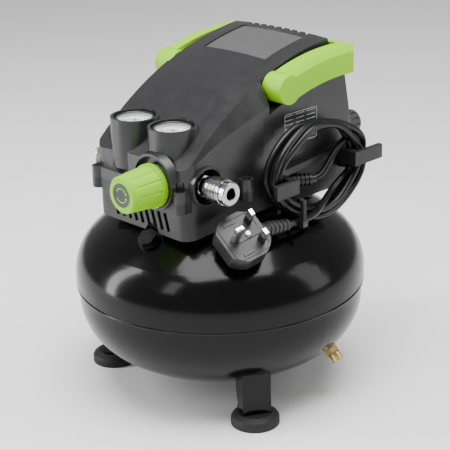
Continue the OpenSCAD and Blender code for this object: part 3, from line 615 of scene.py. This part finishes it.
TIE_FRAME = Matrix(((1, 0, 0, 0), (0, 0, 1, 0), (0, 1, 0, 0), (0, 0, 0, 1)))
bm = bmesh.new()
band(bm, rounded_path(TIE, .003), -.0013, -.0021, .0026, TIE_FRAME)
HEAD = TIE_FRAME @ Matrix.Translation((.1157, .1905, 0))
prism(bm, rounded(.0046, .0068, .0008), -.0032, .0036, HEAD, .0006)
prism(bm, rounded(.0014, .021, .0006), -.0019, .0024,
      TIE_FRAME @ Matrix.Translation((.1163, .2035, 0)), .0004)
for k in range(14):
    prism(bm, rounded(.0006, .0006, .0002), -.0016, .0021,
          TIE_FRAME @ Matrix.Translation((.1171, .1955 + .0012 * k, 0)))
tie = piece("tie_strap", bm, ROOT, "lead_pvc", LOOKS["housing_black"])
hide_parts("cable_tie")


# ---------- gauges ----------

SCALE_R, DIAL_TOP = .0142, .28133


def words(text, size, matrix):
    """A number as a flat mesh."""
    font = bpy.data.curves.new("number", "FONT")
    font.body, font.size, font.align_x, font.align_y = text, size, "CENTER", "CENTER"
    font.extrude = 0.00005
    holder = link(bpy.data.objects.new("number", font))
    depsgraph = bpy.context.evaluated_depsgraph_get()
    mesh = bpy.data.meshes.new_from_object(holder.evaluated_get(depsgraph))
    bpy.data.objects.remove(holder)
    mesh.transform(matrix)
    return mesh


def arc(bm, radius, width, first, last, low, high, matrix, steps=60):
    """A flat ring sector, its angles in degrees."""
    angles = [math.radians(first + (last - first) * k / steps) for k in range(steps + 1)]
    path = [(radius * math.cos(a), radius * math.sin(a)) for a in angles]
    path = path[::-1] if last < first else path
    band_open(bm, path, width, low, high, matrix)


def band_open(bm, path, width, low, high, matrix):
    """A flat strip centred on an open path round the origin."""
    rings = []
    for z in (low, high):
        for side in (-0.5, 0.5):
            ring = []
            for x, y in path:
                r = math.hypot(x, y)
                s = 1 + side * width / r
                ring.append(bm.verts.new(matrix @ Vector((x * s, y * s, z))))
            rings.append(ring)
    a, b, c, d = rings
    for k in range(len(path) - 1):
        for quad in ((a[k], b[k], b[k + 1], a[k + 1]), (c[k], c[k + 1], d[k + 1], d[k]),
                     (b[k], d[k], d[k + 1], b[k + 1]), (a[k], a[k + 1], c[k + 1], c[k])):
            bm.faces.new(quad)
    for k in (0, -1):
        bm.faces.new((a[k], c[k], d[k], b[k]))


def gauge_print(name, side, unit_step):
    """Scale of a dial: an arc, long and short ticks and numbers over 270 degrees."""
    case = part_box("outlet_gauge_case" if side > 0 else "tank_gauge_case")
    at = Matrix.Translation(((case[0][0] + case[1][0]) / 2, (case[0][1] + case[1][1]) / 2, DIAL_TOP))
    bm = bmesh.new()
    arc(bm, SCALE_R, .0003, 225, -45, 0, .0001, at)
    for k in range(51):
        a = math.radians(225 - 5.4 * k)
        long_tick = k % 10 == 0
        size = (.0026, .00055) if long_tick else ((.0019, .0004) if k % 5 == 0 else (.0012, .00022))
        prism(bm, rounded(*size, .0001, 2), 0, .0001,
              at @ Matrix.Rotation(a, 4, "Z") @ Matrix.Translation((SCALE_R - size[0] / 2, 0, 0)))
    for k in range(6):
        a = math.radians(225 - 54 * k)
        spot = at @ Matrix.Translation((.0096 * math.cos(a), .0096 * math.sin(a), .00005))
        bm.from_mesh(words(str(unit_step * k), .0034, spot))
    return piece(name, bm, ROOT, "needle_black")


gauge_print("tank_gauge_scale", -1, 2)
gauge_print("outlet_gauge_scale", 1, 2)

# Bezels: the thin turned lip that holds each lens
for name, side in (("tank_gauge_bezel", -1), ("outlet_gauge_bezel", 1)):
    bm = bmesh.new()
    profile = [(.0168, .2843), (.0168, .2851), (.0174, .2856), (.0184, .2856), (.0189, .285),
               (.0189, .2843)]
    lathe(bm, profile, Matrix.Translation((side * GAUGE_X, GAUGE_Y, 0)), 96, closed=True)
    piece(name, bm, ROOT, "gauge_case_black")

# Hub caps on the needles
for body, side in (("tank_needle", -1), ("outlet_needle", 1)):
    bm = bmesh.new()
    lathe(bm, [(.0, .2826), (.0017, .2826), (.0015, .283), (.0008, .2831), (.0, .2831)],
          Matrix.Translation((side * GAUGE_X, GAUGE_Y, 0)), 24)
    piece(body + "_cap", bm, body, "needle_black")


# ---------- regulator knob ----------

DISC = Matrix.Translation((.0266, -.1443, .236)) @ turned(90, 0, 0)
ARROWS_R = .0067
bm = bmesh.new()
arc(bm, .0096, .0004, 0, 360, -.0001, .00012, DISC, 96)
arc(bm, .0040, .0004, 0, 360, -.0001, .00012, DISC, 64)
piece("disc_rings", bm, "regulator", "badge_grey")
bm = bmesh.new()
for first, last in ((155, 25), (205, 335)):
    arc(bm, ARROWS_R, .0009, first, last, -.0001, .00015, DISC, 40)
    a = math.radians(last)
    way = -1 if last < first else 1
    spot = Matrix.Translation((ARROWS_R * math.cos(a), ARROWS_R * math.sin(a), 0))
    tip = DISC @ spot @ Matrix.Rotation(a + way * math.pi / 2, 4, "Z")
    prism(bm, [(0, -.0013), (.0024, 0), (0, .0013)], -.0001, .00015, tip)
piece("disc_arrows", bm, "regulator", "knob_lime")

# Rounded lip round the disc's recess
bm = bmesh.new()
lathe(bm, [(.0114, -.0006), (.0114, -.0001), (.0117, .0004), (.0124, .0005), (.0129, .0002),
           (.0129, -.0006)], DISC, 96, closed=True)
piece("knob_lip", bm, "regulator", "knob_lime")


# ---------- coupler ----------

PORT = Matrix.Translation((0, COUPLER_Y, COUPLER_Z)) @ turned(0, 90, 0)
bm = bmesh.new()
lathe(bm, [(.0055, .0965), (.0055, .098), (.0062, .0986), (.0101, .0986), (.011, .0979),
           (.011, .0965)], PORT, 96, closed=True)
lathe(bm, [(.0119, .0895), (.0119, .0918), (.0115, .0922), (.0084, .0922), (.0082, .0895)],
      PORT, 96, closed=True)
piece("coupler_face_ring", bm, ROOT, "coupler_chrome", POLISHED)
# A black seal disc set inside the bore; its black also serves as painted shade for the dark bore behind
# the mouth.
bm = bmesh.new()
lathe(bm, [(.0, .0774), (.0052, .0774), (.0054, .0782), (.0034, .0786), (.0028, .0779),
           (.0, .0779)], PORT, 48)
piece("coupler_seal_and_bore_shade", bm, ROOT, "disc_black")


# ---------- screws in the lugs ----------

# Black crosses on the screw heads: painted shade standing in for the shade in their cross recesses.
bm = bmesh.new()
for x, y in ((.058, -.1015), (.078, -.0365), (.078, .1)):
    for side in (-1, 1):
        at = Matrix.Translation((side * x, y, .2355))
        for quarter in (35, 125):
            prism(bm, rounded(.0046, .0009, .0002, 2), -.0006, .00006, at @ turned(0, 0, quarter))
piece("screw_recess_shade", bm, ROOT, "disc_black")


# ---------- rating label ----------

def label_look():
    """A black foil label printed with a thin white frame and plain ruled lines, and nothing to read."""
    look = Look("label_foil", Specular_IOR_Level=0.5)
    parts = look.add("ShaderNodeSeparateXYZ", {"Vector": look.place}).outputs
    rows = look.math("FRACT", look.math("MULTIPLY", parts["Z"], 1 / .0042))
    rule = look.math("LESS_THAN", rows, 0.16)
    columns = look.math("FRACT", look.math("MULTIPLY", parts["Y"], 1 / .0151))
    column = look.math("GREATER_THAN", columns, 0.22)
    ink = look.math("MULTIPLY", rule, column)
    wear = look.span(look.noise(260, 3), 0.55, 1.0)
    tone = look.ramp(look.math("MULTIPLY", ink, wear),
                     [(0.0, (0.012, 0.012, 0.013)), (0.9, (0.5, 0.5, 0.5))])
    look.bump(look.noise(700, 2), 0.00001, 0.4)
    return look.feed(Base_Color=tone, Roughness=look.span(look.noise(90), 0.28, 0.4))


LABEL = label_look()
SIDE = Matrix.Translation((.075, .0405, .2685)) @ turned(90, 0, 90)
bm = bmesh.new()
prism(bm, rounded(.046, .032, .0015), -.0003, .00022, SIDE, .00008)
piece("rating_label", bm, ROOT, "badge_grey", LABEL)
bm = bmesh.new()
band(bm, rounded(.0438, .0298, .001), .0003, .0001, .0003, SIDE)
piece("label_frame", bm, ROOT, "dial_white")


# ---------- tank ----------

# Under the upper shell's skirt: a matt black ring as painted shade in the gap, then the weld bead
bm = bmesh.new()
lathe(bm, [(.1424, .1088), (.1441, .1088), (.1441, .1101), (.1424, .1101)],
      Matrix.Identity(4), 180, closed=True)
piece("seam_gap_painted_shade", bm, ROOT, "foot_rubber")
bm = bmesh.new()
# The bead's paint is lighter than the tank's, a painted highlight along the seam.
wave = [(.1436 + .0014 * math.cos(a), .1075 + .0014 * math.sin(a)) for a in np.linspace(-1.9, 1.9, 9)]
lathe(bm, [(.1424, wave[0][1]), *wave, (.1424, wave[-1][1])],
      Matrix.Identity(4), 180, closed=True)
piece("seam_bead", bm, ROOT, "tank_paint", painted("bead_paint_painted_highlight", (0.006, 0.006, 0.0065)), angle=60)


# ---------- stage ----------

def backdrop():
    """Matt white paper."""
    look = Look("stage_white", Specular_IOR_Level=0.2)
    tooth = look.noise(30, 3)
    look.bump(tooth, 0.0002, 0.1)
    tone = look.ramp(tooth, [(0.3, (0.86, 0.86, 0.86)), (0.7, (0.88, 0.88, 0.88))])
    return look.feed(Base_Color=tone, Roughness=look.span(tooth, 0.7, 0.8))


def lay_floor():
    mesh = bpy.data.meshes.new("floor")
    size = 25
    corners = [(-size, -size, 0), (size, -size, 0), (size, size, 0), (-size, size, 0)]
    mesh.from_pydata(corners, [], [(0, 1, 2, 3)])
    mesh.materials.append(backdrop())
    floor = link(bpy.data.objects.new("floor", mesh))
    floor.location.z = -.0002


def softbox(name, power, size, azimuth, elevation, distance, height=0.2):
    """A rectangular light aimed at the middle of the compressor."""
    light = bpy.data.lights.new(name, "AREA")
    light.shape = "RECTANGLE"
    light.size, light.size_y = size
    light.energy = power
    box = link(bpy.data.objects.new(name, light))
    aim(box, (0, 0, height), azimuth, elevation, 0, distance)


lay_floor()
softbox("box_left", 22, (0.25, 1.4), -42, 18, 1.5)
softbox("box_right", 7, (0.5, 1.2), 126, 22, 1.5)
softbox("box_top", 68, (1.6, 1.2), 60, 80, 1.6)
softbox("box_front", 5, (0.35, 0.9), 4, 36, 2.2)

world = bpy.data.worlds.new("studio")
world.use_nodes = True
sky = world.node_tree.nodes["Background"]
sky.inputs["Color"].default_value = (1, 1, 1, 1)
sky.inputs["Strength"].default_value = 0.36
bpy.context.scene.world = world
